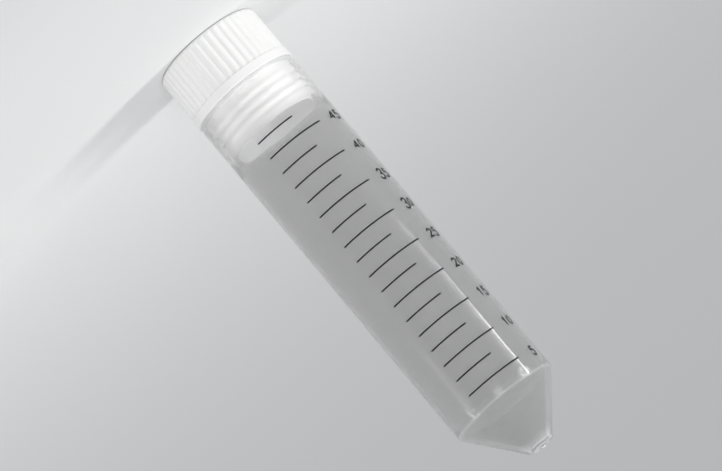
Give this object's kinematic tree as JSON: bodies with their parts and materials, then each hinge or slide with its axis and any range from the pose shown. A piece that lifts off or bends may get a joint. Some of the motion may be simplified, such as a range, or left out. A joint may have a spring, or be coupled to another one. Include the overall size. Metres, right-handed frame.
{
  "type": "conical centrifuge tube",
  "caption": "Translucent graduated conical tube with a white ribbed cap whose hollow threaded plug screws into its mouth.",
  "frame": {"origin": "centre of the cap's flat top, which is the foot the tube stands on", "axes": "+Z along the tube's axis towards the conical tip; the printed scale faces -Y, its numbers towards -X"},
  "size_m": [0.0286, 0.0286, 0.1277],
  "materials": {
    "white_cap": "moulded white, semi-matt",
    "seal_ring": "translucent silicone, matt",
    "natural_polypropylene": "natural translucent, smooth",
    "black_ink": "printed black"
  },
  "bodies": {
    "cap": {"screw_cap": "white_cap"},
    "washer": {"seal_washer": "seal_ring"},
    "tube_body": {"tube": "natural_polypropylene", "graduation_lines": "black_ink", "graduation_numbers": "black_ink"}
  },
  "joints": [
    {"name": "tube_turn", "type": "hinge", "parent": "cap", "child": "washer", "pos_m": [0, 0, 0.01535], "axis": [0, 0, 1], "range_deg": [0, 1440]},
    {"name": "tube_rise", "type": "slide", "parent": "washer", "child": "tube_body", "axis": [0, 0, 1], "range_m": [0, 0.0094]}
  ],
  "couplings": [
    {"joint": "tube_rise", "follows": "tube_turn", "m_per_rad": 0.000374}
  ]
}
